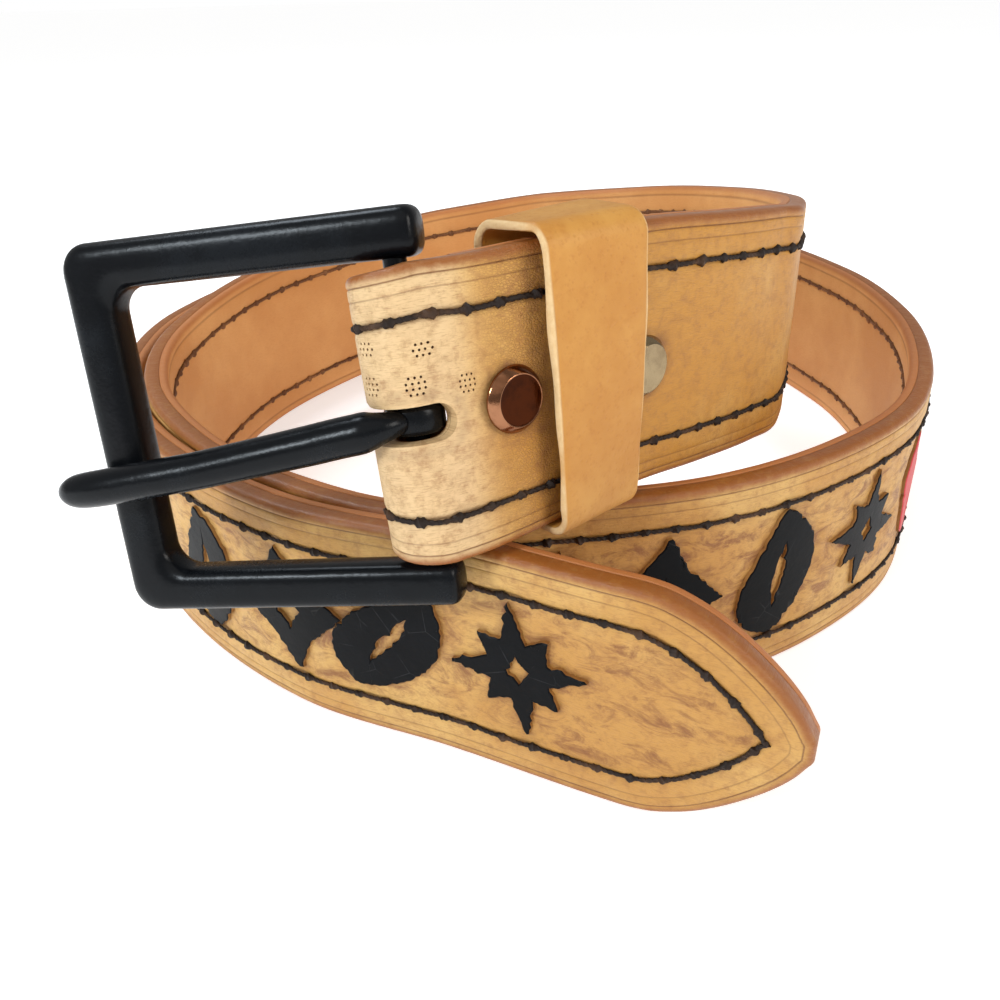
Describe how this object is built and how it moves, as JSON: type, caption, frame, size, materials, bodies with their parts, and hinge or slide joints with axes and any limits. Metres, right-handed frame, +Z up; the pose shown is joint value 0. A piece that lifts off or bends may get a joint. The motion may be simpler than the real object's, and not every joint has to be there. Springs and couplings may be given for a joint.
{
  "type": "tooled leather belt",
  "caption": "Tooled leather belt standing on its edge in a loose coil, with a lining, pointed tip, leather keeper, rivets and a hinged square buckle with a prong.",
  "frame": {"origin": "middle of the coil's plan box, on the surface that it stands on", "axes": "+Z up, +Y from the buckle side to the back of the coil, +X to the right of the buckle side"},
  "size_m": [0.1768, 0.2192, 0.0822],
  "materials": {
    "tooled_leather": "tooled and antiqued vegetable-tanned leather with black and red painted motifs",
    "lining_leather": "smooth tan lining leather with burnished edges",
    "keeper_leather": "plain orange tan leather with pale cut edges",
    "bronze_rivet": "polished dark bronze",
    "nickel_rivet": "polished nickel",
    "black_coating": "satin black coating on cast zinc"
  },
  "bodies": {
    "strap": {"strap_outer": "tooled_leather", "strap_lining": "lining_leather", "keeper": "keeper_leather", "rivet_1": "bronze_rivet", "rivet_2": "nickel_rivet"},
    "buckle": {"buckle_frame": "black_coating"},
    "tongue": {"prong": "black_coating"}
  },
  "joints": [
    {"name": "buckle_hinge", "type": "hinge", "parent": "strap", "child": "buckle", "pos_m": [-0.01838, -0.08645, 0.05704], "axis": [-0.0785, 0.231, 0.9698], "range_deg": [-10, 40]},
    {"name": "prong_hinge", "type": "hinge", "parent": "buckle", "child": "tongue", "pos_m": [-0.01838, -0.08645, 0.05704], "axis": [-0.0785, 0.231, 0.9698], "range_deg": [0, 30]}
  ]
}
